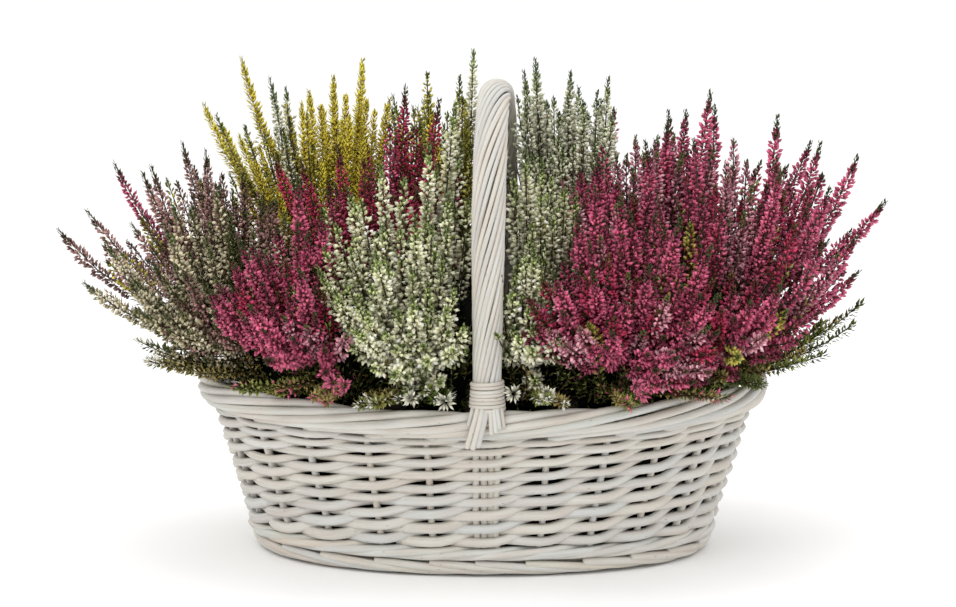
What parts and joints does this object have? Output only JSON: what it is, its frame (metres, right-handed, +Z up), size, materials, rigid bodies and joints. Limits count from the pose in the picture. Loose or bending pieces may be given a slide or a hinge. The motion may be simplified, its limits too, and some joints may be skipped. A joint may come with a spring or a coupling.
{
  "type": "potted heather",
  "caption": "Oval white willow basket with a roped bow handle, planted with bushy clumps of heather in magenta, white, yellow, green and mauve.",
  "frame": {"origin": "middle of the basket's foot, on the surface that it stands on", "axes": "+X runs along the basket's length, -Y is the front, +Z is up"},
  "size_m": [0.55, 0.313, 0.327],
  "materials": {
    "willow": "white painted willow, matt and slightly worn",
    "liner": "thin dark liner, matt",
    "soil": "moist dark potting soil",
    "leaf": "dark green scale leaves, satin",
    "mauve": "dusty mauve heather buds",
    "cream": "cream heather buds",
    "magenta": "magenta heather buds",
    "yellow": "yellow-green heather shoots",
    "crimson": "crimson heather buds",
    "white": "greenish white heather buds",
    "silver": "silvery green heather shoots",
    "olive": "olive green heather shoots"
  },
  "bodies": {
    "root": {"foot_border": "willow", "base_mat": "willow", "lower_wale": "willow", "woven_wall": "willow", "planter_liner": "liner", "soil": "soil", "handle_bow": "willow", "handle_binding_front": "willow", "handle_tails_front": "willow", "handle_binding_back": "willow", "handle_tails_back": "willow", "rim_border": "willow", "foliage_mauve_left": "leaf", "heather_mauve_left": "mauve", "foliage_cream_left": "leaf", "heather_cream_left": "cream", "foliage_magenta_left": "leaf", "heather_magenta_left": "magenta", "foliage_yellow_back": "leaf", "heather_yellow_back": "yellow", "foliage_crimson_middle": "leaf", "heather_crimson_middle": "crimson", "foliage_white_left": "leaf", "heather_white_left": "white", "foliage_white_right": "leaf", "heather_white_right": "white", "foliage_green_back": "leaf", "heather_green_back": "olive", "foliage_silver_back": "leaf", "heather_silver_back": "silver", "foliage_magenta_right": "leaf", "heather_magenta_right": "magenta", "foliage_rose_middle": "leaf", "heather_rose_middle": "magenta", "foliage_rose_right": "leaf", "heather_rose_right": "magenta", "foliage_rose_back": "leaf", "heather_rose_back": "magenta"}
  },
  "joints": []
}
